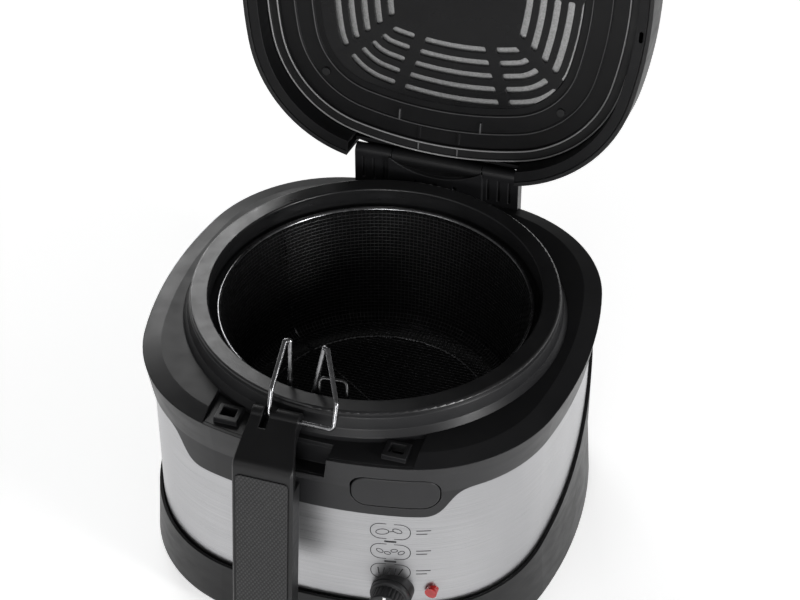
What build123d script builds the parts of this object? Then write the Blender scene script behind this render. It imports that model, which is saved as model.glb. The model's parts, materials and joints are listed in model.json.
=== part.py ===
from build123d import *
import math
import os

# Compact deep fryer. Millimetres, +Z up, front towards -Y. Everything is drawn round the bowl's
# axis and moved by FRAME_SHIFT_Y when it is written, so the origin is under the middle of the box.
FRAME_SHIFT_Y = -20.3

# Plan of the housing: a rounded square of eight tangent arcs
PLAN_HALF = 132.0
SIDE_RADIUS = 260.0
CORNER_RADIUS = 90.0
# How far the band, the base's side and the bezel's lower edge stand inside the plan
STEEL_INSET = 5.3
BASE_INSET = 3.1
SKIRT_INSET = 3.4

# Heights above the table
FOOT_H = 5.0
BASE_SHOULDER = 50.0
BEZEL_LOW = 132.0
TONGUE_LOW = 113.0
BEZEL_EDGE = 153.0
BEZEL_TOP = 156.0
RIM_Z = 170.0
BAND_TOP = 136.0

# Lower edge of the steel band: an arc seen from the side
BAND_ARC_Y = -130.0
BAND_ARC_Z = 337.0
BAND_ARC_R = 298.0

# Bowl, collar and basket
COLLAR_FOOT_R = 115.0
COLLAR_TOP_R = 111.2
COLLAR_BORE_R = 103.5
BOWL_R = 99.5
BOWL_WALL = 1.6
BOWL_FLOOR_Z = 52.0
BASKET_R = 94.0
BASKET_RIM_Z = 160.0
BASKET_FLOOR_Z = 78.0
WIRE_R = 1.5

# Lid, drawn closed and then opened about the hinge
HINGE_Y = 126.7
HINGE_Z = 176.5
LID_OPEN_DEG = 100.6
LID_INSET = 2.8
LID_RIM_Z = 156.3
LID_TOP_Z = 211.0
LID_WALL = 2.5
LID_ROUND = 28.0
TOWER_IN = 30.0
TOWER_OUT = 54.3
TOWER_R = 4.5
PIN_R = 2.0
SLOTS_X = 6.5

# Basket handle
HANDLE_X = -16.5
HANDLE_W = 36.0
FRAME_X = -10.5
# Arched wires: x of the top, of the leg at the pivot and of the leg at the basket's rim
ARCHES = ((-21.8, -24.0, -19.7), (1.0, 14.5, -7.0))
PIVOT_Y = -118.8
PIVOT_Z = 165.0

# Controls on the front
LATCH_X = 51.5
LATCH_Z = 130.6
LATCH_W = 49.0
LATCH_H = 21.0
LATCH_ROUND = 9.0
KNOB_X = 50.0
KNOB_Z = 51.5
KNOB_R = 12.0
LAMP_X = 72.0

# Fixings
POST_AT = 86.0
HOOK_X = 50.0
LID_SCREW_AT = 76.5


def plan(inset=0.0):
    """Face of the housing's plan, moved inwards by inset."""
    reach = PLAN_HALF - SIDE_RADIUS
    gap = SIDE_RADIUS - CORNER_RADIUS
    corner = (reach + math.sqrt(2 * gap**2 - reach**2)) / 2
    side = SIDE_RADIUS - inset
    turn = math.atan2(corner, corner - reach)
    near = (reach + side * math.cos(turn), side * math.sin(turn))
    out = corner + (CORNER_RADIUS - inset) / math.sqrt(2)
    arcs = []
    for quarter in range(4):
        def spin(point):
            return Vector(*point).rotate(Axis.Z, 90 * quarter)

        far = (near[1], near[0])
        arcs.append(ThreePointArc(spin((near[0], -near[1])), spin((reach + side, 0)), spin(near)))
        arcs.append(ThreePointArc(spin(near), spin((out, out)), spin(far)))
    return make_face(Curve() + arcs)


def prism(inset, low, high):
    """Straight block on the plan between two heights."""
    return Pos(0, 0, low) * extrude(plan(inset), high - low)


def tapered(wall, low, high):
    """Block that leans out with the bezel's side; wall is measured inwards from that side."""
    def level(z):
        return Pos(0, 0, z) * plan(wall + SKIRT_INSET * (BEZEL_EDGE - z) / (BEZEL_EDGE - BEZEL_LOW))

    return loft([level(low), level(high)], ruled=True)


def base_block(wall, low):
    """Block inside the base's side: it spreads out below BASE_SHOULDER and is straight above."""
    lean = BASE_INSET * (low - FOOT_H) / (BASE_SHOULDER - FOOT_H)
    levels = [Pos(0, 0, low) * plan(wall + lean), Pos(0, 0, BASE_SHOULDER) * plan(wall + BASE_INSET)]
    return loft(levels, ruled=True) + prism(wall + BASE_INSET, BASE_SHOULDER, BEZEL_LOW)


def ring(inset_out, inset_in, low, high):
    """Closed band on the plan."""
    return prism(inset_out, low, high) - prism(inset_in, low - 1, high + 1)


def block(x, y, z):
    """Box from three (low, high) pairs."""
    size = [b - a for a, b in (x, y, z)]
    middle = [(a + b) / 2 for a, b in (x, y, z)]
    return Pos(*middle) * Box(*size)


def disc(radius, low, high, x=0.0, y=0.0):
    """Upright cylinder between two heights."""
    return Pos(x, y, (low + high) / 2) * Cylinder(radius, high - low)


def rod_x(radius, x_low, x_high, y, z):
    """Cylinder along X."""
    return Pos((x_low + x_high) / 2, y, z) * Rot(0, 90, 0) * Cylinder(radius, x_high - x_low)


def rod_y(radius, y_low, y_high, x, z):
    """Cylinder along Y."""
    return Pos(x, (y_low + y_high) / 2, z) * Rot(90, 0, 0) * Cylinder(radius, y_high - y_low)


def wire(points, radius, bend):
    """Round wire through the points, with the same bend at each corner."""
    path = FilletPolyline(*points, radius=bend)
    return sweep(Plane(path @ 0, z_dir=path % 0) * Circle(radius), path=path)


def corners_at(distance):
    return [(x, y) for x in (-distance, distance) for y in (-distance, distance)]


def group(shapes):
    """Separate solids that share one node."""
    solids = []
    for shape in shapes:
        solids.extend(shape.solids())
    return Compound(solids)


def opened(shape):
    """Swing a lid piece from closed to open."""
    return shape.rotate(Axis((0, HINGE_Y, HINGE_Z), (1, 0, 0)), -LID_OPEN_DEG)


# ---------------------------------------------------------------- housing

def band_arc(radius):
    return rod_x(radius, -200, 200, BAND_ARC_Y, BAND_ARC_Z)


def base_shell():
    outer = base_block(0, FOOT_H)
    outer = fillet(outer.edges().group_by(Axis.Z)[0], 3.5)
    room = base_block(1.85, FOOT_H + 3)
    tub = outer - fillet(room.edges().group_by(Axis.Z)[0], 2)
    tub = tub - band_arc(BAND_ARC_R)
    tub = tub - prism(40, 0, 20)
    for x, y in corners_at(POST_AT):
        tub = tub + disc(6.5, FOOT_H + 1, 20, x, y)
        tub = tub - disc(2.2, 0, 30, x, y) - disc(4.6, 0, FOOT_H + 4, x, y)
    return tub - rod_y(7.0, 110, 150, -60, 28)


def base_plate():
    plate = prism(32, 8.2, 9.4)
    for row in range(-3, 4):
        for side in (-1, 1):
            plate = plate - block((side * 36 - 22, side * 36 + 22), (row * 16 - 2, row * 16 + 2), (8, 10))
    for x, y in corners_at(68):
        plate = plate - disc(1.7, 8, 10, x, y)
    return plate


def base_screws():
    screws = []
    for x, y in corners_at(68):
        screws.append(disc(3.4, 6.6, 8.2, x, y) + disc(1.6, 8.2, 15, x, y))
    return group(screws)


def foot_pads():
    pads = []
    for x, y in corners_at(POST_AT):
        pad = disc(9.5, 0, FOOT_H, x, y)
        pads.append(chamfer(pad.edges().group_by(Axis.Z)[0], 1.2))
    return group(pads)


def tie_screws():
    screws = []
    for x, y in corners_at(POST_AT):
        screws.append(disc(4.0, 6.4, FOOT_H + 4, x, y) + disc(1.9, FOOT_H + 4, 36, x, y))
    return group(screws)


def latch_pill(grow):
    pill = RectangleRounded(LATCH_W + 2 * grow, LATCH_H + 2 * grow, LATCH_ROUND + grow)
    return Pos(LATCH_X, -100, LATCH_Z) * Rot(90, 0, 0) * extrude(pill, 60)


def steel_band():
    low = 30.0
    sheet = ring(STEEL_INSET, STEEL_INSET + 0.8, low, BAND_TOP)
    sheet = sheet & band_arc(BAND_ARC_R + 6)
    window = ((-69.5, 117), (69.5, 117), (78.5, 125.5), (81, 137), (-81, 137), (-78.5, 125.5))
    window = make_face(Polyline(*window, close=True))
    sheet = sheet - Rot(90, 0, 0) * extrude(window, 150)
    sheet = sheet - rod_y(4.6, -150, -100, KNOB_X, KNOB_Z)
    return sheet - rod_y(2.6, -150, -100, LAMP_X, KNOB_Z)


def tongue_profile():
    """Front view of the collar's skirt: deeper in the middle, with an S-curve on each side."""
    right = Spline((67, TONGUE_LOW), (94, BEZEL_LOW), tangents=((1, 0), (1, 0)))
    left = Spline((-94, BEZEL_LOW), (-67, TONGUE_LOW), tangents=((1, 0), (1, 0)))
    foot = Line((-67, TONGUE_LOW), (67, TONGUE_LOW))
    sides = Polyline((94, BEZEL_LOW), (94, BEZEL_LOW + 5), (-94, BEZEL_LOW + 5), (-94, BEZEL_LOW))
    return make_face(Curve() + [left, foot, right, sides])


def bowl_collar():
    """Round collar that carries the bowl and that the lid closes over."""
    with_top = 169.0
    profile = Polyline(
        (COLLAR_BORE_R, 147),
        (107.0, 147),
        (107.0, 152),
        (COLLAR_FOOT_R, 152),
        (COLLAR_FOOT_R, BEZEL_TOP),
        (COLLAR_TOP_R + 1.2, 160),
        (COLLAR_TOP_R, with_top - 1.5),
        (COLLAR_TOP_R - 1.2, with_top),
        (COLLAR_BORE_R, with_top),
        close=True,
    )
    return revolve(Rot(90, 0, 0) * make_face(profile), Axis.Z)


def shelf_space(low, high):
    """Room of the recessed shelf in front of the bowl's collar."""
    return block((-62.5, 62.5), (-140, -97), (low, high)) - disc(COLLAR_FOOT_R, low - 1, high + 1)


def handle_gap():
    """Notch in the bezel's front that the basket's handle hangs over."""
    notch = make_face(Polyline((-15.5, 160), (-12, 137), (12, 137), (15.5, 160), close=True))
    return Pos(0, -118.5, 0) * Rot(90, 0, 0) * extrude(notch, 30)


def top_collar():
    skirt = tapered(0, BEZEL_LOW, BEZEL_EDGE)
    tongue = prism(SKIRT_INSET, TONGUE_LOW, BEZEL_LOW + 1)
    tongue = tongue & (Rot(90, 0, 0) * extrude(tongue_profile(), 150))
    crown = loft([Pos(0, 0, BEZEL_EDGE) * plan(0), Pos(0, 0, BEZEL_TOP) * plan(11)], ruled=True)
    room = tapered(1.75, BEZEL_LOW, 150) + prism(SKIRT_INSET + 1.75, TONGUE_LOW - 1, BEZEL_LOW + 1)
    shell = skirt + tongue + crown - room - disc(COLLAR_FOOT_R, 140, 160)
    shell = shell - shelf_space(BEZEL_EDGE, 160) - (shelf_space(149, 154) & prism(2.3, 148, 155))
    window = latch_pill(0.6) + Pos(0, 0, 1.3) * latch_pill(0.6)
    shell = shell - handle_gap() - (window & prism(-5, 100, 150))
    for x, y in corners_at(POST_AT):
        shell = shell + disc(5.2, 20.4, 150.5, x, y) - disc(1.9, 20, 36, x, y)
    return shell - prism_outside()


def hook_deck():
    """Recessed shelf with a raised pad and a slot for each of the lid's hooks."""
    deck = shelf_space(150, BEZEL_EDGE) & prism(2.3, 148, 155)
    for x in (-HOOK_X, HOOK_X):
        deck = deck + block((x - 7, x + 7), (-120.5, -107.5), (BEZEL_EDGE - 1, BEZEL_TOP))
        deck = deck - block((x - 4.5, x + 4.5), (-117, -109.6), (140, 160))
    return deck - handle_gap()


def notch_liner():
    """Pocket behind the bezel's notch: a floor, a back and two sides."""
    pocket = block((-18, 18), (-129.5, -115.5), (134.5, 150)) & tapered(1.8, BEZEL_LOW, 152)
    return pocket - handle_gap()


def prism_outside():
    """Everything past the housing's plan, to trim what stands out of it."""
    return prism(-40, 100, 170) - prism(0, 99, 171)


def bowl():
    cup = disc(BOWL_R + BOWL_WALL, BOWL_FLOOR_Z - BOWL_WALL, 169)
    cup = fillet(cup.edges().group_by(Axis.Z)[0], 13.6)
    flange = disc(110.6, 169, 171.2)
    flange = fillet(flange.edges().group_by(Axis.Z)[-1], 1.4)
    inside = disc(BOWL_R, BOWL_FLOOR_Z, 180)
    inside = fillet(inside.edges().group_by(Axis.Z)[0], 12)
    cup = cup + flange - inside
    lip = cup.edges().filter_by(GeomType.CIRCLE).filter_by(lambda e: abs(e.center().Z - 171.2) < 0.1)
    return fillet(lip.sort_by(SortBy.RADIUS)[0], 1.0)


def heat_spreader():
    plate = disc(84, 43.4, BOWL_FLOOR_Z - BOWL_WALL)
    return plate - Pos(0, 0, 43.4) * Torus(66, 4.05)


def heater_ring():
    section = Pos(66, 0, 43.4) * Rot(90, 0, 0) * Circle(4.0)
    hoop = Rot(0, 0, 100) * revolve(section, Axis.Z, 330)
    shape = hoop
    for angle in (100, 430):
        x = 66 * math.cos(math.radians(angle))
        y = 66 * math.sin(math.radians(angle))
        shape = shape + Pos(x, y, 43.4) * Sphere(4.0) + disc(3.0, 30.5, 43.4, x, y)
    return shape


def heat_shield():
    cup = disc(108, 28, 140) - disc(107.2, 28.8, 141)
    for angle in (100, 430):
        x = 66 * math.cos(math.radians(angle))
        y = 66 * math.sin(math.radians(angle))
        cup = cup - disc(5.5, 27, 30, x, y)
    return cup - disc(7, 27, 30, 0, -30)


def shield_posts():
    return group([disc(4, 9.4, 28, x, y) for x, y in corners_at(48)])


def thermostat():
    case = block((KNOB_X - 11, KNOB_X + 11), (-117, -104), (KNOB_Z - 12, KNOB_Z + 12))
    bush = rod_y(4.3, -124, -117, KNOB_X, KNOB_Z)
    return case + bush - rod_y(3.05, -130, -110, KNOB_X, KNOB_Z)


def thermostat_bulb():
    return Pos(0, -30, 37.5) * Rot(0, 90, 0) * Cylinder(5.4, 46)


def capillary():
    points = [(0, -30, 32.1), (0, -30, 20), (20, -80, 20), (KNOB_X, -108, 20), (KNOB_X, -108, 39.5)]
    return wire(points, 1.2, 6)


def thermal_fuse():
    return Pos(40, 20, 41.0) * Box(22, 12, 4.8) + disc(4.5, 34, 38.6, 40, 20)


def terminal_block():
    body = block((-72, -36), (84, 98), (9.4, 24))
    for x in (-66, -54, -42):
        body = body - disc(2.4, 14, 25, x, 91)
    return body


def pilot_lamp():
    return rod_y(2.2, -112.9, -103, LAMP_X, KNOB_Z)


def lamp_lens():
    rim = rod_y(3.6, -118.4, -112.5, LAMP_X, KNOB_Z) - prism(STEEL_INSET - 0.02, 30, 100)
    return rim + rod_y(2.5, -118.4, -113, LAMP_X, KNOB_Z)


def knob_plate():
    plate = rod_y(KNOB_R + 0.3, -125.6, -115, KNOB_X, KNOB_Z) - rod_y(4.7, -140, -100, KNOB_X, KNOB_Z)
    return plate - prism(STEEL_INSET, 30, 100)


def cord_gland():
    nut = rod_y(9.0, 112, 117.8, -60, 28)
    flange = rod_y(9.0, 117, 132.5, -60, 28) - base_block(-0.05, FOOT_H)
    barrel = rod_y(6.9, 114, 132, -60, 28)
    return nut + flange + barrel - rod_y(3.7, 100, 145, -60, 28)


def hinge_tower(x_low, x_high):
    foot = block((x_low, x_high), (HINGE_Y - TOWER_R, HINGE_Y + TOWER_R), (BEZEL_LOW + 0.5, HINGE_Z))
    return foot + rod_x(TOWER_R, x_low, x_high, HINGE_Y, HINGE_Z)


def hinge_bracket(collar):
    shape = hinge_tower(TOWER_IN, TOWER_OUT) + hinge_tower(-TOWER_OUT, -TOWER_IN)
    plate = block((-TOWER_IN - 1, TOWER_IN + 1), (119.9, HINGE_Y - 1), (154, 178))
    plate = plate - rod_y(54.5, 100, 140, 0, 223.5) - rod_x(5.5, -60, 60, HINGE_Y, HINGE_Z)
    shelf = block((-TOWER_IN - 1, TOWER_IN + 1), (119.9, 131), (154, 168.6))
    shape = shape + (plate & block((-40, 40), (119, 123.2), (150, 180))) + shelf
    for side in (-1, 1):
        for step in range(3):
            x = side * (34.5 + 7 * step)
            groove = block((x - 0.8, x + 0.8), (121, HINGE_Y - TOWER_R + 0.7), (158, 174))
            shape = shape - groove
    for x in (-13, 0, 13):
        shape = shape - rod_y(1.3, 115, 122, x, 163.5)
    shape = shape - rod_x(PIN_R, -60, 60, HINGE_Y, HINGE_Z)
    return shape - prism(0, 100, BEZEL_EDGE) - collar


def hinge_pin():
    return rod_x(PIN_R, -TOWER_OUT + 0.5, TOWER_OUT - 0.5, HINGE_Y, HINGE_Z)


def latch_spring():
    coil = Helix(2.0, 8.0, 3.3)
    turns = sweep(Plane(coil @ 0, z_dir=coil % 0) * Circle(0.45), path=coil)
    return Pos(40, -102.3, 127.5) * Rot(90, 0, 0) * turns


# ---------------------------------------------------------------- lid release

def latch_button():
    face = latch_pill(0) & (prism(SKIRT_INSET - 0.4, 100, 160) - prism(8, 99, 161))
    edge = face.edges().filter_by(lambda e: e.center().Y < -122.5)
    return fillet(edge, 0.8)


def latch_bar():
    """Bar behind the button, with a catch for each lid hook."""
    bar = block((-54, 54), (-117.4, -114), (124, 131))
    for x in (-HOOK_X, HOOK_X):
        bar = bar + block((x - 4, x + 4), (-117.4, -114), (124, 139.5))
        bar = bar + block((x - 4, x + 4), (-117.4, -107.6), (137, 139.5))
        bar = bar + block((x - 4, x + 4), (-109.6, -107.6), (137, 146.5))
        bar = bar + block((x - 4, x + 4), (-111.8, -107.6), (144.4, 146.5))
    guide = rod_y(2.2, -114.2, -105.5, 40, 127.5)
    return bar + guide + (block((44, 54), (-123, -117), (125, 130)) & prism(8.02, 100, 160))


# ---------------------------------------------------------------- thermostat control

def thermostat_knob():
    body = rod_y(KNOB_R - 2, -138, -126.2, KNOB_X, KNOB_Z)
    skirt = rod_y(KNOB_R, -129.2, -126.2, KNOB_X, KNOB_Z)
    body = body + chamfer(skirt.edges().group_by(Axis.Y)[0], 0.8)
    body = fillet(body.edges().group_by(Axis.Y)[0], 1.2)
    for step in range(24):
        flute = Pos(KNOB_X, 0, KNOB_Z) * Rot(0, step * 15, 0) * Pos(KNOB_R - 1.6, -133, 0)
        body = body - flute * Rot(90, 0, 0) * Cylinder(0.75, 7)
    body = body - rod_y(3.0, -133, -121, KNOB_X, KNOB_Z)
    return body - block((KNOB_X - 1.0, KNOB_X + 1.0), (-139, -137.4), (KNOB_Z + 2, KNOB_Z + 9))


def knob_insert():
    return block((KNOB_X - 1.0, KNOB_X + 1.0), (-137.9, -137.4), (KNOB_Z + 2, KNOB_Z + 9))


def knob_shaft():
    return rod_y(3.0, -133, -111, KNOB_X, KNOB_Z)


# ---------------------------------------------------------------- lid, drawn closed

def lid_solid(inset, drop, rounding, low):
    """Domed block of the lid; inset and drop move its side and its top inwards."""
    body = prism(inset, low, LID_TOP_Z - drop)
    return fillet(body.edges().group_by(Axis.Z)[-1], rounding)


def lid_cavity(gap):
    inset = LID_INSET + LID_WALL + gap
    return lid_solid(inset, LID_WALL + gap, LID_ROUND - LID_WALL - gap, 140)


def handle_notch(grow):
    return block((-38 - grow, 19 + grow), (-140, -110), (150, 176 + grow))


def hinge_notch(y_low):
    return block((-54.8, 54.8), (y_low, 140), (150, 182.3))


def lid_shell():
    dome = lid_solid(LID_INSET, 0, LID_ROUND, LID_RIM_Z) - lid_cavity(0)
    dome = dome - handle_notch(0) - hinge_notch(108)
    for row in range(-3, 4):
        dome = dome - block((-18, 18), (30 + row * 7 - 1.5, 30 + row * 7 + 1.5), (200, 215))
    return dome


def vent_cover():
    plate = Pos(0, 30, 0) * (disc(34, LID_TOP_Z, LID_TOP_Z + 1.6))
    plate = chamfer(plate.edges().group_by(Axis.Z)[-1], 0.8)
    for row in range(-3, 4):
        plate = plate - block((-18, 18), (30 + row * 7 - 1.5, 30 + row * 7 + 1.5), (200, 215))
    return plate


def front_pocket():
    """Room under the lid for the basket's arched wires."""
    hollow = lid_cavity(0.3)
    outer = block((-39.8, 20.8), (-128, -82.7), (173, 202)) & hollow
    inner = block((-38, 19), (-140, -84.5), (160, 200.2)) & lid_cavity(2.2)
    return outer, inner


def lid_liner():
    """Rim and side of the lid's lining, parted by the hinge and by the handle's notch."""
    halves = ring(LID_INSET + LID_WALL + 0.3, 12, 156.8, 158.8) & lid_cavity(0.3)
    halves = halves + ring(10.2, 12, 156.8, 176.5)
    for side in (-1, 1):
        halves = halves - Pos(side * 123.4, 12, 150) * extrude(SlotOverall(7, 2.6, rotation=90), 12)
    outer, inner = front_pocket()
    halves = halves - outer - inner - handle_notch(0)
    return halves - block((-54.8, 54.8), (100, 140), (150, 182.3))


def liner_deck():
    """Flat of the lid's lining, with ribs below and an upstand at the hinge."""
    deck = ring(12, 47.6, 174.5, 176.5)
    for inset in (29.6, 41.5):
        deck = deck + ring(inset, inset + 1.4, 173.4, 174.6)
    for x, y in ((-26.5, 96.5), (26.5, 96.5), (-12.8, 106.5), (12.8, 106.5)):
        deck = deck + block((x - 0.7, x + 0.7), (y - 4, y + 4), (173.4, 174.6))
    for x, y in corners_at(LID_SCREW_AT):
        deck = deck - disc(1.2, 170, 180, x, y)
    outer, inner = front_pocket()
    deck = deck - outer - inner - handle_notch(0) - hinge_notch(119.5)
    return deck + block((-54.6, 54.6), (117.5, 119.5), (174.5, 186))


def arch_shroud():
    """Box in the front of the lid that clears the basket's arched wires."""
    outer, inner = front_pocket()
    return outer - prism(47.6, 150, 177) - inner - handle_notch(0)


def lid_gasket():
    seal = ring(12.4, 20, 173.0, 174.5)
    seal = seal + ring(12.4, 13.8, 172.2, 173.2) + ring(18.6, 20, 172.2, 173.2)
    for x in (-HOOK_X, HOOK_X):
        seal = seal - block((x - 3.6, x + 3.6), (-114.5, -111.5), (170, 176))
    return seal - block((-40.4, 21.4), (-140, -104), (150, 178)) - hinge_notch(119.3)


def cover_slots(low, high):
    """Rows of curved slots, parted by radial bars."""
    cuts = []
    for row in range(5):
        middle = 53.0 + 8.6 * row
        cuts.append(ring(middle - 2.1, middle + 2.1, low, high))
    slots = cuts[0]
    for cut in cuts[1:]:
        slots = slots + cut
    for angle, offset in ((18, 9), (49, 0), (90, 0), (131, 0), (162, 9)):
        for side in (-1, 1):
            bar = Rot(0, 0, 90 - side * angle) * block((0, 140), (-3.4, 3.4), (low - 1, high + 1))
            slots = slots - Pos(side * offset, 0, 0) * bar
    return Pos(SLOTS_X, 0, 0) * slots


def filter_cover():
    plate = prism(47.9, 172.8, 174.6)
    slots = cover_slots(170, 176)
    return plate - fillet(slots.edges().filter_by(Axis.Z), 1.4)


def filter_mesh():
    return prism(47.9, 175.0, 175.6)


def filter_pad():
    return prism(49.4, 176.2, 184)


def lid_hooks():
    hooks = []
    for side in (-1, 1):
        x = side * HOOK_X
        shank = block((x - 3, x + 3), (-113.9, -112.1), (141, 174.5))
        barb = block((x - 3, x + 3), (-112.1, -110.4), (141, 144))
        hooks.append(shank + barb)
    return group(hooks)


def lid_hinge_arm():
    barrel = rod_x(5.1, -29.6, 29.6, HINGE_Y, HINGE_Z)
    web = block((-29.6, 29.6), (HINGE_Y - 4.6, HINGE_Y + 0.5), (HINGE_Z, 192)) & lid_cavity(0.05)
    barrel = barrel + web + block((-29.6, 29.6), (HINGE_Y - 4.6, HINGE_Y + 2.5), (HINGE_Z, 182))
    arm = barrel - rod_x(PIN_R + 0.06, -60, 60, HINGE_Y, HINGE_Z)
    return arm


def lid_screws():
    screws = []
    for x, y in corners_at(LID_SCREW_AT):
        screws.append(disc(2.6, 173.2, 174.5, x, y) + disc(1.2, 174.5, 186, x, y))
    return group(screws)


# ---------------------------------------------------------------- basket

def basket_mesh():
    outer = loft([Pos(0, 0, BASKET_FLOOR_Z) * Circle(88), Pos(0, 0, 158.4) * Circle(BASKET_R)])
    outer = fillet(outer.edges().group_by(Axis.Z)[0], 9)
    inner = loft([Pos(0, 0, BASKET_FLOOR_Z + 1) * Circle(87), Pos(0, 0, 160) * Circle(BASKET_R - 0.9)])
    inner = fillet(inner.edges().group_by(Axis.Z)[0], 8)
    return outer - inner


def basket_rim():
    return Pos(0, 0, BASKET_RIM_Z) * Torus(BASKET_R, WIRE_R)


def basket_base_ring():
    return Pos(0, 0, BASKET_FLOOR_Z - 3.4) * Torus(70, 1.2)


def basket_ribs():
    low = BASKET_FLOOR_Z - 1.3
    ribs = []
    for angle in (35, 145):
        points = [(-95.4, 0, 158), (-89.9, 0, low), (89.9, 0, low), (95.4, 0, 158)]
        ribs.append(Rot(0, 0, angle) * wire(points, 1.0, 10))
    return ribs[0] + ribs[1]


def beside_rim(x, z):
    """Point just outside the basket's rim wire."""
    return (x, -math.sqrt((BASKET_R + 2 * WIRE_R) ** 2 - x**2), z)


def frame_points(apex_x, pivot_x, rim_x):
    """Centre line of one arched wire, from the basket's rim over the collar to the pivot."""
    return [
        beside_rim(rim_x, BASKET_RIM_Z - 1.5),
        (apex_x + 1.2 * (1 if rim_x > apex_x else -1), -89.5, RIM_Z + 27.5),
        (apex_x - 1.2 * (1 if rim_x > apex_x else -1), -91.0, RIM_Z + 27.5),
        (pivot_x, -112.5, RIM_Z + 9.0),
        (pivot_x, PIVOT_Y, PIVOT_Z),
        (FRAME_X, PIVOT_Y, PIVOT_Z),
    ]


def basket_frame():
    arches = []
    for apex_x, pivot_x, rim_x in ARCHES:
        path = FilletPolyline(*frame_points(apex_x, pivot_x, rim_x), radius=[1.0, 1.0, 4.0, 3.0])
        arches.append(sweep(Plane(path @ 0, z_dir=path % 0) * Circle(WIRE_R), path=path))
    return arches[0] + arches[1]


def basket_loop():
    points = [
        beside_rim(-2.0, BASKET_RIM_Z),
        (-3.0, -91, RIM_Z + 6),
        (12.3, -89, RIM_Z + 5),
        beside_rim(14.5, BASKET_RIM_Z),
    ]
    return wire(points, 1.1, 3)


# ---------------------------------------------------------------- basket handle

def handle_side():
    """Side view of the handle as (y, z, rounding): root, sloping neck and hanging grip."""
    return [
        (-117.0, 170.6, 1.5),
        (-150.5, 155.0, 7),
        (-163.0, 45.0, 5),
        (-150.5, 43.0, 5),
        (-138.5, 146.0, 5),
        (-134.5, 152.5, 2),
        (-121.0, 158.3, 1.2),
    ]


def handle_bar():
    face = make_face(Polyline(*[(y, z) for y, z, rounding in handle_side()], close=True))
    for y, z, rounding in handle_side():
        if rounding:
            corner = face.vertices().sort_by_distance((y, z, 0))[0]
            face = fillet(corner, rounding)
    bar = Pos(HANDLE_X, 0, 0) * extrude(Plane.YZ * face, HANDLE_W / 2, both=True)

    def outer_edge(edge):
        spot = edge.center()
        at_side = abs(abs(spot.X - HANDLE_X) - HANDLE_W / 2) < 0.1
        grip = spot.Y < -152 and spot.Z > 50
        neck = spot.Y < -125 and spot.Z > 160
        bend = spot.Y < -145 and spot.Z > 150
        return at_side and (grip or neck or bend)

    return chamfer(bar.edges().filter_by(outer_edge), 1.0)


def root_taper(side):
    """What is cut off one side of the neck so that it narrows towards the pivot."""
    edge = HANDLE_X + side * HANDLE_W / 2
    lean = 6.4 if side > 0 else 1.6
    points = [(edge, -149), (edge - side * lean, -126), (edge - side * lean, -100), (edge + side * 20, -100)]
    return extrude(Pos(0, 0, 140) * make_face(Polyline(*points, (edge + side * 20, -149), close=True)), 40)


def handle_body():
    bar = handle_bar()
    boss = rod_x(5.2, HANDLE_X - HANDLE_W / 2, HANDLE_X + HANDLE_W / 2, PIVOT_Y, PIVOT_Z)
    bar = bar + boss - rod_x(WIRE_R + 0.06, -80, 40, PIVOT_Y, PIVOT_Z)
    leg = ARCHES[0][1]
    slot = rod_x(10.6, leg - 2.2, leg + 2.2, PIVOT_Y, PIVOT_Z)
    slot = slot + block((leg - 2.2, leg + 5.2), (PIVOT_Y - 1.6, -100), (150, 180))
    bar = bar - slot - root_taper(1) - root_taper(-1)
    return bar - grip_cut() - back_cut()


def grip_plane():
    """Frame on the grip's outer face: origin at its top middle, X across, Y down the grip."""
    lean = math.atan2(12.5, 110.0)
    down = (0, -math.sin(lean), -math.cos(lean))
    out = (0, -math.cos(lean), math.sin(lean))
    return Plane(origin=(HANDLE_X, -150.5, 155.0), x_dir=down, z_dir=out)


def grip_cut():
    """Recess in the grip's outer face for the soft insert."""
    return grip_plane() * Pos(56, 0, 0) * extrude(RectangleRounded(97, 31.4, 3), 1.4, both=True)


def handle_insert():
    pad = RectangleRounded(96.7, 31.1, 2.85)
    body = grip_plane() * Pos(56, 0, -1.35) * extrude(pad, 1.9)
    return body


def back_cut():
    """Hollow in the grip, open at the back."""
    return grip_plane() * Pos(58, 0, -3.5) * extrude(RectangleRounded(84, 22, 4), -20)


def handle_back():
    pad = RectangleRounded(83.6, 21.6, 3.8)
    cover = grip_plane() * Pos(58, 0, -12.0) * extrude(pad, -1.4)
    for x in (26, 90):
        cover = cover - grip_plane() * Pos(x, 0, -12) * Cylinder(1.7, 6)
    return cover


def handle_screws():
    screws = []
    for x in (26, 90):
        screws.append(grip_plane() * Pos(x, 0, -12.8) * Cylinder(1.65, 1.2))
    return group(screws)


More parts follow.
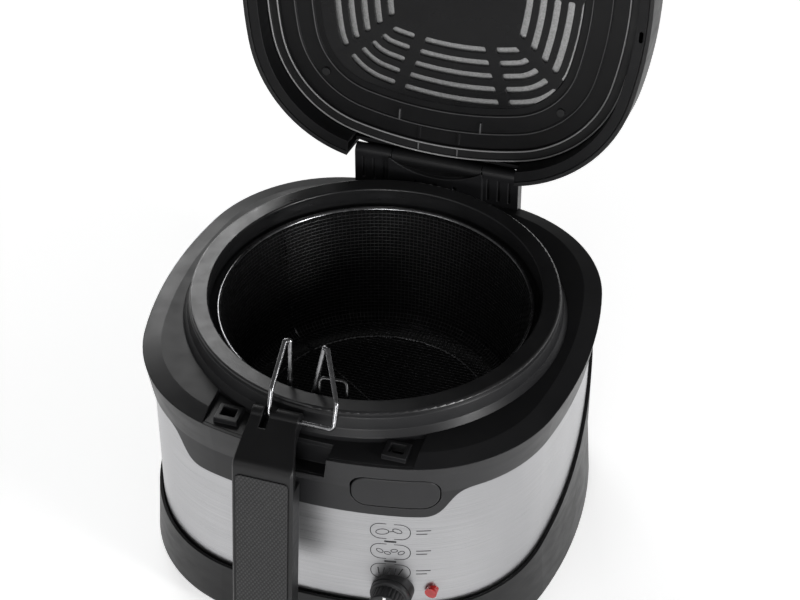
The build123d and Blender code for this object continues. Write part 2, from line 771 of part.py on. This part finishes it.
def main():
    collar = top_collar()
    fixed = {
        "base_shell": base_shell(),
        "base_plate": base_plate(),
        "base_screws": base_screws(),
        "foot_pads": foot_pads(),
        "tie_screws": tie_screws(),
        "steel_band": steel_band(),
        "top_collar": collar,
        "bowl_collar": bowl_collar(),
        "hook_deck": hook_deck(),
        "notch_liner": notch_liner(),
        "bowl": bowl(),
        "heat_spreader": heat_spreader(),
        "heater_ring": heater_ring(),
        "heat_shield": heat_shield(),
        "shield_posts": shield_posts(),
        "thermostat": thermostat(),
        "thermostat_bulb": thermostat_bulb(),
        "capillary": capillary(),
        "thermal_fuse": thermal_fuse(),
        "terminal_block": terminal_block(),
        "pilot_lamp": pilot_lamp(),
        "lamp_lens": lamp_lens(),
        "knob_plate": knob_plate(),
        "cord_gland": cord_gland(),
        "hinge_bracket": hinge_bracket(collar),
        "hinge_pin": hinge_pin(),
        "latch_spring": latch_spring(),
        "latch_button": latch_button(),
        "latch_bar": latch_bar(),
        "thermostat_knob": thermostat_knob(),
        "knob_insert": knob_insert(),
        "knob_shaft": knob_shaft(),
        "basket_mesh": basket_mesh(),
        "basket_rim": basket_rim(),
        "basket_base_ring": basket_base_ring(),
        "basket_ribs": basket_ribs(),
        "basket_frame": basket_frame(),
        "basket_loop": basket_loop(),
        "handle_body": handle_body(),
        "handle_insert": handle_insert(),
        "handle_back": handle_back(),
        "handle_screws": handle_screws(),
    }
    lid = {
        "lid_shell": lid_shell(),
        "lid_liner": lid_liner(),
        "liner_deck": liner_deck(),
        "arch_shroud": arch_shroud(),
        "lid_gasket": lid_gasket(),
        "filter_cover": filter_cover(),
        "filter_mesh": filter_mesh(),
        "filter_pad": filter_pad(),
        "vent_cover": vent_cover(),
        "lid_hooks": lid_hooks(),
        "lid_hinge_arm": lid_hinge_arm(),
        "lid_screws": lid_screws(),
    }
    parts = dict(fixed)
    for name, shape in lid.items():
        parts[name] = opened(shape)
    os.makedirs("parts", exist_ok=True)
    for name, shape in parts.items():
        export_step(Pos(0, FRAME_SHIFT_Y, 0) * shape, f"parts/{name}.step")


main()
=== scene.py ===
import bpy
import json
import math
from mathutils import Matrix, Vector
from mathutils.bvhtree import BVHTree


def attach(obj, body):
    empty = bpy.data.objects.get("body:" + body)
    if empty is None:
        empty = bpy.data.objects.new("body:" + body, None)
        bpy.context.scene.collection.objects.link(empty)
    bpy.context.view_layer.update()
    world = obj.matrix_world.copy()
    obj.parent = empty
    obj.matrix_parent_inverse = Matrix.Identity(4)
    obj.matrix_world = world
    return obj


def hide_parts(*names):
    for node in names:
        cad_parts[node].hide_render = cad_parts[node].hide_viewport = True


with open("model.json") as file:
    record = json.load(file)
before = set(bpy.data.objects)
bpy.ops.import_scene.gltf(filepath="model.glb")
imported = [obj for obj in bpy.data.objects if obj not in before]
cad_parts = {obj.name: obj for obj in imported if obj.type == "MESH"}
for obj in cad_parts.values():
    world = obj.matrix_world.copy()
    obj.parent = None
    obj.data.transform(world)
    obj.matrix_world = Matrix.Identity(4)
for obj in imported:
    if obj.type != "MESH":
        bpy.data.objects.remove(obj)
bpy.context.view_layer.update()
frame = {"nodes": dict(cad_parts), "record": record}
nodes = frame["nodes"]

# The bowl's axis in the part's frame, and millimetres in metres
AXIS_Y = -0.0203
MM = 0.001

# Where the camera stands and looks, and what the lights point at
CAMERA_AT = Vector((0.3255, -0.9864, 0.9935))
CAMERA_TARGET = Vector((0.0168, -0.0250, 0.170))
CAMERA_LENS = 99.0
LIT_MIDDLE = (0, 0, 0.16)

# The front of the handle's notch in the lid, from side to side
NOTCH = (-42, 23)


def at(x, y, z):
    """Millimetres round the bowl's axis to metres in the part's frame."""
    return Vector((x * MM, y * MM + AXIS_Y, z * MM))


# ---------------------------------------------------------------- camera, light and floor

def add_camera():
    camera = bpy.data.cameras.new("camera")
    camera.lens = CAMERA_LENS
    camera.sensor_width = 36.0
    camera.dof.use_dof = False
    holder = bpy.data.objects.new("camera", camera)
    bpy.context.scene.collection.objects.link(holder)
    holder.location = CAMERA_AT
    holder.rotation_euler = (CAMERA_TARGET - CAMERA_AT).to_track_quat("-Z", "Y").to_euler()
    bpy.context.scene.camera = holder


def add_light(name, place, size, power):
    """A softbox pointed at the fryer."""
    light = bpy.data.lights.new(name, "AREA")
    light.shape = "RECTANGLE"
    light.size = size[0]
    light.size_y = size[1]
    light.energy = power
    holder = bpy.data.objects.new(name, light)
    bpy.context.scene.collection.objects.link(holder)
    holder.location = place
    holder.rotation_euler = (Vector(LIT_MIDDLE) - Vector(place)).to_track_quat("-Z", "Y").to_euler()


def add_studio():
    """Softboxes, an even pale world and a pale floor."""
    add_light("softbox_left", (-1.4, 1.3, 0.95), (0.7, 0.4), 8)
    add_light("softbox_right", (1.8, -0.75, 0.45), (0.35, 0.8), 22)
    add_light("softbox_front", (0.35, -2.0, 0.4), (0.6, 0.7), 15)
    add_light("softbox_top", (-0.9, 1.6, 1.5), (0.8, 0.5), 7)
    add_light("softbox_fill", (-0.9, -2.1, 1.3), (1.2, 0.8), 4.5)
    world = bpy.data.worlds.new("studio")
    world.use_nodes = True
    background = world.node_tree.nodes["Background"]
    background.inputs[0].default_value = (1, 1, 1, 1)
    background.inputs[1].default_value = 0.12
    bpy.context.scene.world = world
    bpy.context.scene.view_settings.view_transform = "Standard"
    mesh = bpy.data.meshes.new("studio_floor")
    mesh.from_pydata([(-4, -4, 0), (4, -4, 0), (4, 4, 0), (-4, 4, 0)], [], [(0, 1, 2, 3)])
    floor = bpy.data.objects.new("studio_floor", mesh)
    bpy.context.scene.collection.objects.link(floor)
    finish = Finish("studio_floor")
    finish.colour(finish.mottle(finish.noise(3), (0.93, 0.93, 0.93), (0.95, 0.95, 0.95)))
    finish.set(Roughness=0.8, Emission_Color=(1, 1, 1, 1), Emission_Strength=0.6)
    mesh.materials.append(finish.material)


# ---------------------------------------------------------------- materials

class Finish:
    """A procedural material: one shader whose colour, roughness and bump come from nodes."""

    def __init__(self, name):
        self.material = bpy.data.materials.new(name)
        self.material.use_nodes = True
        self.tree = self.material.node_tree
        self.tree.nodes.clear()
        end = self.add("ShaderNodeOutputMaterial")
        self.shader = self.add("ShaderNodeBsdfPrincipled")
        self.link(self.shader.outputs[0], end.inputs[0])
        self.place = self.add("ShaderNodeTexCoord").outputs["Object"]
        self.normal = None

    def add(self, kind, **settings):
        made = self.tree.nodes.new(kind)
        for key, value in settings.items():
            setattr(made, key, value)
        return made

    def link(self, source, target):
        self.tree.links.new(source, target)

    def set(self, **values):
        for key, value in values.items():
            self.shader.inputs[key.replace("_", " ")].default_value = value

    def noise(self, scale, detail=3.0, stretch=(1, 1, 1), rough=0.55, seed=0.0):
        spread = self.add("ShaderNodeMapping")
        spread.inputs["Scale"].default_value = stretch
        spread.inputs["Location"].default_value = (seed, seed, seed)
        self.link(self.place, spread.inputs[0])
        made = self.add("ShaderNodeTexNoise")
        made.inputs["Scale"].default_value = scale
        made.inputs["Detail"].default_value = detail
        made.inputs["Roughness"].default_value = rough
        self.link(spread.outputs[0], made.inputs["Vector"])
        return made.outputs[0]

    def cells(self, scale):
        made = self.add("ShaderNodeTexVoronoi")
        made.inputs["Scale"].default_value = scale
        self.link(self.place, made.inputs["Vector"])
        return made.outputs[0]

    def ramp(self, value, stops):
        made = self.add("ShaderNodeValToRGB")
        band = made.color_ramp
        while len(band.elements) < len(stops):
            band.elements.new(0.5)
        for element, (spot, tint) in zip(band.elements, stops):
            element.position = spot
            element.color = (*tint, 1)
        self.link(value, made.inputs[0])
        return made.outputs[0]

    def mottle(self, value, low, high, start=0.3, stop=0.7):
        """Colour from low to high as value goes from start to stop."""
        return self.ramp(value, [(start, low), (stop, high)])

    def spread(self, value, low, high, start=0.3, stop=0.7):
        """Number from low to high as value goes from start to stop."""
        made = self.add("ShaderNodeMapRange")
        for key, number in (("From Min", start), ("From Max", stop), ("To Min", low), ("To Max", high)):
            made.inputs[key].default_value = number
        self.link(value, made.inputs[0])
        return made.outputs[0]

    def join(self, first, second, how="MULTIPLY"):
        made = self.add("ShaderNodeMath", operation=how)
        for index, value in enumerate((first, second)):
            if isinstance(value, (int, float)):
                made.inputs[index].default_value = value
            else:
                self.link(value, made.inputs[index])
        return made.outputs[0]

    def blend(self, amount, first, second):
        made = self.add("ShaderNodeMix", data_type="RGBA")
        self.link(amount, made.inputs[0])
        for index, value in ((6, first), (7, second)):
            if isinstance(value, tuple):
                made.inputs[index].default_value = (*value, 1)
            else:
                self.link(value, made.inputs[index])
        return made.outputs[2]

    def colour(self, value):
        self.link(value, self.shader.inputs["Base Color"])

    def rough(self, value):
        self.link(value, self.shader.inputs["Roughness"])

    def soften(self, radius):
        """Rounds sharp edges in the shading only."""
        made = self.add("ShaderNodeBevel", samples=6)
        made.inputs[0].default_value = radius
        self.normal = made.outputs[0]
        self.link(self.normal, self.shader.inputs["Normal"])

    def edge_highlight_mask(self, radius, gain):
        """Mask for the painted edge highlight: about 1 on the object's sharp edges and 0 elsewhere."""
        round_off = self.add("ShaderNodeBevel", samples=6)
        round_off.inputs[0].default_value = radius
        plain = self.add("ShaderNodeNewGeometry")
        dot = self.add("ShaderNodeVectorMath", operation="DOT_PRODUCT")
        self.link(round_off.outputs[0], dot.inputs[0])
        self.link(plain.outputs["Normal"], dot.inputs[1])
        lost = self.join(1.0, dot.outputs["Value"], "SUBTRACT")
        made = self.add("ShaderNodeMath", operation="MULTIPLY", use_clamp=True)
        self.link(lost, made.inputs[0])
        made.inputs[1].default_value = gain
        return made.outputs[0]

    def bump(self, height, strength, distance):
        made = self.add("ShaderNodeBump")
        made.inputs["Strength"].default_value = strength
        made.inputs["Distance"].default_value = distance
        self.link(height, made.inputs["Height"])
        if self.normal:
            self.link(self.normal, made.inputs["Normal"])
        self.normal = made.outputs[0]
        self.link(self.normal, self.shader.inputs["Normal"])


def plastic(name, low, high, rough, grain=1500, depth=0.00006, edge_highlight_colour=None, soft=0.0006, shine=0.3):
    """Moulded plastic: fine grain, slightly uneven colour, scuffs, and a painted highlight that makes the
    sharp edges paler.
    """
    finish = Finish(name)
    finish.set(Specular_IOR_Level=shine)
    tint = finish.mottle(finish.noise(16, 4), low, high, 0.32, 0.68)
    if edge_highlight_colour:
        # Painted highlight: the sharp edges are blended towards a paler colour, as if they caught the light
        tint = finish.blend(finish.edge_highlight_mask(0.0009, 3.0), tint, edge_highlight_colour)
    finish.colour(tint)
    finish.rough(finish.spread(finish.noise(60, 6, (1, 1, 3)), *rough))
    finish.soften(soft)
    finish.bump(finish.noise(grain, 2), 0.35, depth)
    return finish.material


def metal(name, low, high, rough, scale=300):
    """Bare or plated metal, slightly mottled."""
    finish = Finish(name)
    finish.set(Metallic=1.0)
    streaks = finish.noise(scale, 5)
    finish.colour(finish.mottle(streaks, low, high))
    finish.rough(finish.spread(finish.noise(scale * 0.7, 4, seed=3), *rough))
    finish.soften(0.0003)
    finish.bump(streaks, 0.3, 0.00002)
    return finish.material


def brushed_band():
    """Stainless sheet brushed level round the body."""
    finish = Finish("brushed_steel")
    finish.set(Metallic=1.0, Anisotropic=0.75)
    tangent = finish.add("ShaderNodeTangent", direction_type="RADIAL", axis="Z")
    finish.link(tangent.outputs[0], finish.shader.inputs["Tangent"])
    fine = finish.noise(9, 6, (1, 1, 320), 0.7)
    broad = finish.noise(14, 3, (1, 1, 0.6), seed=5)
    mixed = finish.join(finish.join(fine, 0.7), finish.join(broad, 0.3), "ADD")
    finish.colour(finish.mottle(mixed, (0.34, 0.34, 0.35), (0.54, 0.54, 0.55)))
    finish.rough(finish.spread(fine, 0.24, 0.40))
    finish.soften(0.0004)
    finish.bump(fine, 0.22, 0.00003)
    return finish.material


def coated(name):
    """Non-stick coating: dark, fine sparkle, slight orange peel and faint rubbed rings."""
    finish = Finish(name)
    finish.set(Coat_Weight=0.35, Coat_Roughness=0.25, Specular_IOR_Level=0.5)
    specks = finish.spread(finish.cells(2600), 1.0, 0.0, 0.05, 0.22)
    base = finish.mottle(finish.noise(22, 5), (0.008, 0.008, 0.0085), (0.016, 0.016, 0.017))
    finish.colour(finish.blend(finish.join(specks, 0.3), base, (0.07, 0.07, 0.072)))
    finish.rough(finish.spread(finish.noise(90, 6, (1, 1, 6)), 0.26, 0.46))
    finish.bump(finish.noise(700, 3), 0.25, 0.00006)
    return finish.material


def soft_grip():
    """Soft grip moulded with small staggered diamonds."""
    finish = Finish("soft_grip")
    split = finish.add("ShaderNodeSeparateXYZ")
    finish.link(finish.place, split.inputs[0])
    across = finish.join(finish.join(split.outputs["X"], 2700.0), 0.0, "SINE")
    down = finish.join(finish.join(split.outputs["Z"], 1900.0), 0.0, "SINE")
    diamonds = finish.spread(finish.join(across, down), 0.0, 1.0, 0.05, 0.5)
    base = finish.mottle(finish.noise(120, 4), (0.005, 0.005, 0.0055), (0.009, 0.009, 0.0095))
    finish.colour(finish.blend(finish.join(diamonds, 0.8), base, (0.034, 0.034, 0.035)))
    finish.rough(finish.spread(finish.noise(400, 4), 0.42, 0.58))
    finish.set(Specular_IOR_Level=0.4)
    finish.soften(0.0006)
    finish.bump(diamonds, 0.7, 0.00025)
    return finish.material


def glass_like(name, low, high, clear):
    """Clear or tinted plastic or glass that lets that share of the light through."""
    finish = Finish(name)
    finish.colour(finish.mottle(finish.noise(200, 3), low, high))
    finish.rough(finish.spread(finish.noise(150, 3), 0.05, 0.16))
    finish.set(Transmission_Weight=clear, IOR=1.49, Coat_Weight=0.4)
    finish.bump(finish.noise(500, 2), 0.15, 0.00004)
    return finish.material


def felt(name, low, high):
    """Pressed fibres of the filter pad."""
    finish = Finish(name)
    fibres = finish.noise(900, 6, (1, 3, 1), 0.7)
    finish.colour(finish.mottle(fibres, low, high, 0.25, 0.75))
    finish.rough(finish.spread(fibres, 0.85, 1.0))
    finish.set(Sheen_Weight=0.3, Sheen_Roughness=0.5)
    finish.bump(fibres, 0.8, 0.0003)
    return finish.material


# The edge colours given to the charcoal, button, handle and liner plastics are painted highlights on their
# sharp edges
MATERIALS = {
    "black_plastic": plastic("black_plastic", (0.004, 0.004, 0.0045), (0.008, 0.008, 0.0085), (0.38, 0.5)),
    "charcoal_plastic": plastic(
        "charcoal_plastic", (0.009, 0.009, 0.010), (0.015, 0.015, 0.016), (0.34, 0.44),
        edge_highlight_colour=(0.035, 0.035, 0.037), soft=0.0009),
    "button_plastic": plastic(
        "button_plastic", (0.010, 0.010, 0.011), (0.016, 0.016, 0.017), (0.32, 0.42),
        edge_highlight_colour=(0.035, 0.035, 0.037), soft=0.0010),
    "handle_plastic": plastic(
        "handle_plastic", (0.005, 0.005, 0.0055), (0.010, 0.010, 0.0105), (0.36, 0.46),
        edge_highlight_colour=(0.030, 0.030, 0.031), soft=0.0012),
    "liner_plastic": plastic(
        "liner_plastic", (0.004, 0.004, 0.0045), (0.008, 0.008, 0.0085), (0.34, 0.44),
        edge_highlight_colour=(0.022, 0.022, 0.023), soft=0.0008, shine=0.14),
    "gloss_black": plastic(
        "gloss_black", (0.003, 0.003, 0.0035), (0.006, 0.006, 0.0065), (0.18, 0.28), grain=500,
        depth=0.00002, soft=0.0005, shine=0.18),
    "grey_silicone": plastic(
        "grey_silicone", (0.008, 0.008, 0.0085), (0.014, 0.014, 0.0145), (0.44, 0.58), depth=0.0001,
        shine=0.2),
    # Pale grey painted on the seal's rounded lips as their highlight
    "lip_highlight_paint": plastic("lip_highlight_paint", (0.24, 0.24, 0.242), (0.34, 0.34, 0.342), (0.40, 0.55)),
    # Pale grey painted on the lining's rounded crests as their highlight
    "crest_highlight_paint": plastic("crest_highlight_paint", (0.07, 0.07, 0.072), (0.11, 0.11, 0.112), (0.35, 0.5)),
    "print_ink": plastic(
        "print_ink", (0.012, 0.012, 0.013), (0.022, 0.022, 0.023), (0.45, 0.6), soft=0.0001),
    "rubber_feet": plastic(
        "rubber_feet", (0.014, 0.014, 0.014), (0.028, 0.028, 0.028), (0.7, 0.9), grain=900, depth=0.0001),
    "white_mark": plastic("white_mark", (0.62, 0.62, 0.61), (0.72, 0.72, 0.71), (0.4, 0.55)),
    "control_body": plastic("control_body", (0.42, 0.36, 0.28), (0.52, 0.46, 0.38), (0.55, 0.75)),
    "brushed_steel": brushed_band(),
    "nonstick": coated("nonstick"),
    "zinc_steel": metal("zinc_steel", (0.42, 0.42, 0.43), (0.58, 0.58, 0.60), (0.32, 0.52), scale=45),
    "cast_aluminium": metal(
        "cast_aluminium", (0.48, 0.48, 0.48), (0.62, 0.62, 0.62), (0.42, 0.6), scale=160),
    "element_steel": metal("element_steel", (0.14, 0.11, 0.10), (0.28, 0.25, 0.22), (0.35, 0.55), scale=80),
    "steel_fixings": metal(
        "steel_fixings", (0.45, 0.45, 0.46), (0.62, 0.62, 0.64), (0.22, 0.40), scale=500),
    "copper_bulb": metal("copper_bulb", (0.50, 0.24, 0.14), (0.66, 0.36, 0.22), (0.25, 0.42), scale=200),
    "basket_wire": metal("basket_wire", (0.10, 0.10, 0.102), (0.20, 0.20, 0.205), (0.30, 0.46), scale=400),
    "chrome_wire": metal("chrome_wire", (0.20, 0.20, 0.205), (0.34, 0.34, 0.35), (0.16, 0.30), scale=350),
    "dark_wire": metal("dark_wire", (0.045, 0.045, 0.047), (0.10, 0.10, 0.10), (0.28, 0.42), scale=350),
    "filter_steel": metal("filter_steel", (0.20, 0.20, 0.20), (0.32, 0.32, 0.32), (0.3, 0.5), scale=900),
    "filter_felt": felt("filter_felt", (0.10, 0.10, 0.10), (0.19, 0.19, 0.19)),
    "lamp_glass": glass_like("lamp_glass", (0.85, 0.55, 0.35), (0.95, 0.7, 0.5), 0.8),
    "red_lens": glass_like("red_lens", (0.35, 0.01, 0.01), (0.5, 0.02, 0.02), 0.25),
    "soft_grip": soft_grip(),
}


def paint_nodes():
    """Gives every CAD node the material of its slot."""
    for part in frame["record"]["subparts"]:
        target = nodes[part["node"]]
        target.data.materials.clear()
        target.data.materials.append(MATERIALS[part["material_slot"]])


# ---------------------------------------------------------------- pieces

def add_piece(name, body, slot, points, faces, smooth=True):
    """A visual piece that rides on that body."""
    mesh = bpy.data.meshes.new(name)
    mesh.from_pydata([tuple(p) for p in points], [], faces)
    mesh.update()
    piece = bpy.data.objects.new(name, mesh)
    bpy.context.scene.collection.objects.link(piece)
    mesh.materials.append(MATERIALS[slot])
    for face in mesh.polygons:
        face.use_smooth = smooth
    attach(piece, body)
    return piece


# A direction that no wire runs along, to turn each wire's section from
SKEW = Vector((0.123, 0.456, 0.881))


def tube(points, faces, path, radius, sides=4, closed=False):
    """Adds a thin tube along path to the point and face lists."""
    count = len(path)
    start = len(points)
    for index in range(count):
        before = path[(index - 1) % count] if closed or index else path[index]
        after = path[(index + 1) % count] if closed or index < count - 1 else path[index]
        along = (after - before).normalized()
        side = along.cross(SKEW).normalized()
        up = side.cross(along)
        for turn in range(sides):
            angle = 2 * math.pi * turn / sides
            points.append(path[index] + (side * math.cos(angle) + up * math.sin(angle)) * radius)
    spans = count if closed else count - 1
    for index in range(spans):
        near = start + index * sides
        far = start + (index + 1) % count * sides
        for turn in range(sides):
            other = (turn + 1) % sides
            faces.append((near + turn, near + other, far + other, far + turn))


# Basket's wall in side view: radius and height of the sheet's middle, from rim to centre
WALL_TOP = (93.6, 159.0)
WALL_FOOT = (87.7, 87.0)
FOOT_ROUND = 8.5
FLOOR_Z = 78.5
WEAVE_PITCH = 2.5
WIRE_RADIUS = 0.42 / 2
WALL_UPRIGHTS = 228


def wall_profile(step):
    """(radius, height, outward slope) down the wall and round its foot to the flat floor."""
    spots = []
    rise = WALL_TOP[1] - WALL_FOOT[1]
    count = round(rise / step)
    for index in range(count + 1):
        share = index / count
        spots.append((WALL_TOP[0] + (WALL_FOOT[0] - WALL_TOP[0]) * share, WALL_TOP[1] - rise * share, 0.0))
    bends = max(4, round(FOOT_ROUND * math.pi / 2 / step))
    for index in range(1, bends + 1):
        angle = math.pi / 2 * index / bends
        radius = WALL_FOOT[0] - FOOT_ROUND * (1 - math.cos(angle))
        spots.append((radius, FLOOR_Z + FOOT_ROUND * (1 - math.sin(angle)), angle))
    return spots


def woven(spot, turn, over):
    """A wire's place on the basket's wall, outside the wire that it crosses or inside it."""
    radius, height, angle = spot
    push = WIRE_RADIUS * (1 if over else -1)
    reach = radius + push * math.cos(angle)
    return at(reach * math.cos(turn), reach * math.sin(turn), height - push * math.sin(angle))


def wall_weave():
    """Wall of woven wire: uprights and rings passing over and under each other."""
    points, faces = [], []
    profile = wall_profile(WEAVE_PITCH)
    turns = [2 * math.pi * index / WALL_UPRIGHTS for index in range(WALL_UPRIGHTS)]
    for index, turn in enumerate(turns):
        path = [woven(spot, turn, (row + index) % 2 == 1) for row, spot in enumerate(profile)]
        tube(points, faces, path, WIRE_RADIUS * MM)
    for row, spot in enumerate(profile):
        path = [woven(spot, turn, (row + index) % 2 == 0) for index, turn in enumerate(turns)]
        tube(points, faces, path, WIRE_RADIUS * MM, closed=True)
    return add_piece("basket_wall_weave", "basket", "basket_wire", points, faces)


def floor_weave():
    """Flat floor of woven wire, a little past the start of the wall's foot."""
    points, faces = [], []
    reach = WALL_FOOT[0] - FOOT_ROUND + 1.0
    lines = int(reach / WEAVE_PITCH)
    for way in (0, 1):
        for line in range(-lines, lines + 1):
            offset = line * WEAVE_PITCH
            half = math.sqrt(reach**2 - offset**2)
            stops = int(half / WEAVE_PITCH)
            path = []
            for stop in range(-stops, stops + 1):
                push = WIRE_RADIUS * (1 if (line + stop + way) % 2 else -1)
                spot = (offset, stop * WEAVE_PITCH) if way else (stop * WEAVE_PITCH, offset)
                path.append(at(*spot, FLOOR_Z + push))
            if len(path) > 1:
                tube(points, faces, path, WIRE_RADIUS * MM)
    return add_piece("basket_floor_weave", "basket", "basket_wire", points, faces)


def basket_weave():
    """Woven wall and floor in place of the CAD basket's thin sheet."""
    wall = wall_weave()
    bottom = floor_weave()
    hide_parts("basket_mesh")
    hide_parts("basket_mesh")


# Plan of the housing: a rounded square of eight tangent arcs, in millimetres
PLAN_HALF = 132.0
SIDE_RADIUS = 260.0
CORNER_RADIUS = 90.0


def plan_points(inset, steps=24):
    """Points round the plan, inset from the housing's side."""
    rise = SIDE_RADIUS - PLAN_HALF
    reach = SIDE_RADIUS - CORNER_RADIUS
    corner = (-rise + math.sqrt(2 * reach**2 - rise**2)) / 2
    swing = math.atan2(corner + rise, corner)
    spots = []
    for quarter in range(4):
        turn = quarter * math.pi / 2
        arcs = (
            ((0.0, -rise), SIDE_RADIUS - inset, math.pi - swing, swing),
            ((corner, corner), CORNER_RADIUS - inset, swing, math.pi / 2 - swing),
        )
        for (x, y), radius, start, stop in arcs:
            for step in range(steps):
                angle = start + (stop - start) * step / steps
                px, py = x + radius * math.cos(angle), y + radius * math.sin(angle)
                spots.append((px * math.cos(-turn) - py * math.sin(-turn),
                              px * math.sin(-turn) + py * math.cos(-turn)))
    return spots


# The open lid's swing, and the hinge's place from the bowl's axis and in height
LID_OPEN = math.radians(-100.6)
HINGE = (126.7, 176.5)

# Lips of the lid's seal and crests of its lining: insets, heights and radii on the closed lid
LIPS = (("seal_lip_outer", 13.1), ("seal_lip_inner", 19.3))
LIP_Z = 172.1
LIP_RADIUS = 0.5
CREST_INSETS = (30.3, 42.2)
CREST_Z = 173.35
CREST_RADIUS = 0.3
SHORT_CRESTS = ((-26.5, 96.5, 173.35), (26.5, 96.5, 173.35), (-12.8, 115.9, 172.7), (12.8, 115.9, 172.7))
SHORT_HALF = 3.4
SHORT_SPANS = 8
SHORT_DIP = 0.25
SHORT_RADIUS = 0.5


def on_open_lid(x, y, z):
    """A place on the closed lid, in millimetres, to its place with the lid open."""
    dy, dz = y - HINGE[0], z - HINGE[1]
    return at(x, HINGE[0] + dy * math.cos(LID_OPEN) - dz * math.sin(LID_OPEN),
              HINGE[1] + dy * math.sin(LID_OPEN) + dz * math.cos(LID_OPEN))


def by_notch(spot):
    """Whether a point of the plan is in front of the basket's handle."""
    return NOTCH[0] < spot[0] < NOTCH[1] and spot[1] < 0


def lid_run(inset, z):
    """Path round the lid at that inset and height, open at the handle's notch."""
    spots = plan_points(inset)
    last = max(index for index, spot in enumerate(spots) if by_notch(spot))
    turned = spots[last + 1:] + spots[:last]
    return [on_open_lid(*spot, z) for spot in turned if not by_notch(spot)]


def seal_lips():
    """Rounded lips along both edges of the lid's seal, coloured pale grey as a painted highlight."""
    for name, inset in LIPS:
        points, faces = [], []
        tube(points, faces, lid_run(inset, LIP_Z), LIP_RADIUS * MM, 8)
        lip = add_piece(name, "lid", "grey_silicone", points, faces)
        # Painted highlight: the lips get a pale grey in place of the seal's dark silicone
        lip.data.materials[0] = MATERIALS["lip_highlight_paint"]


def liner_crests():
    """Rounded crests coloured pale as a painted highlight: along two ribs of the lining, and short ones
    beside the hinge.
    """
    points, faces = [], []
    for inset in CREST_INSETS:
        tube(points, faces, lid_run(inset, CREST_Z), CREST_RADIUS * MM, 6)
    for x, y, z in SHORT_CRESTS:
        run = []
        for step in range(SHORT_SPANS + 1):
            along = -1 + 2 * step / SHORT_SPANS
            run.append(on_open_lid(x, y + SHORT_HALF * along, z + SHORT_DIP * along**4))
        tube(points, faces, run, SHORT_RADIUS * MM, 8)
    crests = add_piece("liner_crests", "lid", "liner_plastic", points, faces)
    # Painted highlight: the crests get a paler grey in place of the lining's dark plastic
    crests.data.materials[0] = MATERIALS["crest_highlight_paint"]


# Printed symbols on the front: place across, heights, line widths and how far the print stands off
SYMBOL_X = 48.6
SYMBOL_HEIGHTS = (98.6, 82.4, 66.2)
LINE = 0.5
BAR = 1.3
RULE = 0.6
PRINT_LIFT = 0.06
DROPS = ((-6.0, 0.3, 4.2), (-1.6, -1.2, 3.6), (2.2, 1.0, 3.8), (6.2, -0.4, 4.0))


class Surface:
    """The front of a CAD node, to lay printed marks on."""

    def __init__(self, node):
        self.tree = BVHTree.FromPolygons(
            [v.co.copy() for v in nodes[node].data.vertices],
            [tuple(p.vertices) for p in nodes[node].data.polygons])

    def spot(self, x, z):
        hit, normal, index, distance = self.tree.ray_cast(Vector((x * MM, -0.5, z * MM)), Vector((0, 1, 0)))
        if normal.y > 0:
            normal = -normal
        return hit + normal * PRINT_LIFT * MM


def stroke(points, faces, surface, path, width, closed=False):
    """Adds a flat printed line of that width along path, given in millimetres across the front."""
    count = len(path)
    start = len(points)
    for index in range(count):
        before = path[index - 1] if closed or index else path[index]
        after = path[(index + 1) % count] if closed or index < count - 1 else path[index]
        run = Vector((after[0] - before[0], after[1] - before[1])).normalized()
        side = Vector((-run.y, run.x)) * width / 2
        points.append(surface.spot(path[index][0] + side.x, path[index][1] + side.y))
        points.append(surface.spot(path[index][0] - side.x, path[index][1] - side.y))
    for index in range(count if closed else count - 1):
        near, far = start + 2 * index, start + 2 * ((index + 1) % count)
        faces.append((near, near + 1, far + 1, far))


def rounded_path(x, z, width, height, radius, steps=8):
    """Round-cornered oblong about that middle."""
    spots = []
    for quarter, (sx, sz) in enumerate(((1, 1), (-1, 1), (-1, -1), (1, -1))):
        for step in range(steps + 1):
            angle = math.pi / 2 * (quarter + step / steps)
            spots.append((x + sx * (width / 2 - radius) + radius * math.cos(angle),
                          z + sz * (height / 2 - radius) + radius * math.sin(angle)))
    return spots


def loop_path(x, z, wide, high, lean, steps=20):
    """Leaning oval about that middle."""
    spots = []
    for step in range(steps):
        angle = 2 * math.pi * step / steps
        a, b = wide / 2 * math.cos(angle), high / 2 * math.sin(angle)
        spots.append((x + a * math.cos(lean) - b * math.sin(lean),
                      z + a * math.sin(lean) + b * math.cos(lean)))
    return spots


def front_marks():
    """Printed food symbols with a setting bar and two short rules beside each."""
    surface = Surface("steel_band")
    points, faces = [], []

    def draw(path, width=LINE, closed=False):
        stroke(points, faces, surface, path, width, closed)

    x = SYMBOL_X
    for row, z in enumerate(SYMBOL_HEIGHTS):
        draw(rounded_path(x, z, 22.6, 11.8, 5.5), closed=True)
        if row == 0:
            draw(loop_path(x - 4.5, z - 0.5, 7.5, 4.2, 0.2), closed=True)
            draw(loop_path(x + 4.0, z + 0.8, 5.5, 3.0, -0.4), closed=True)
            draw([(x - 0.5, z - 0.2), (x + 1.0, z + 0.3), (x + 2.2, z + 0.2)])
        if row == 1:
            for dx, dz, size in DROPS:
                draw(loop_path(x + dx, z + dz, size, size * 0.62, dx * 0.1), closed=True)
        if row == 2:
            for step in range(6):
                foot = (x - 6.5 + 2.2 * step, z - 2.6)
                draw([foot, (foot[0] + 1.6 * (step % 3 - 0.4), z + 2.8)], 0.7)
        draw([(x - 3.4, z - 8.0), (x, z - 8.1), (x + 3.4, z - 8.0)], BAR)
        for drop, reach in ((1.6, 8.0), (-1.0, 6.0)):
            draw([(x + 14.5 + reach * step / 5, z + drop) for step in range(6)], RULE)
    marks = add_piece("front_marks", "housing", "black_plastic", points, faces, smooth=False)
    marks.data.materials[0] = MATERIALS["print_ink"]


add_camera()
add_studio()
paint_nodes()
nodes["lid_screws"].data.materials[0] = MATERIALS["black_plastic"]
basket_weave()
seal_lips()
liner_crests()
front_marks()
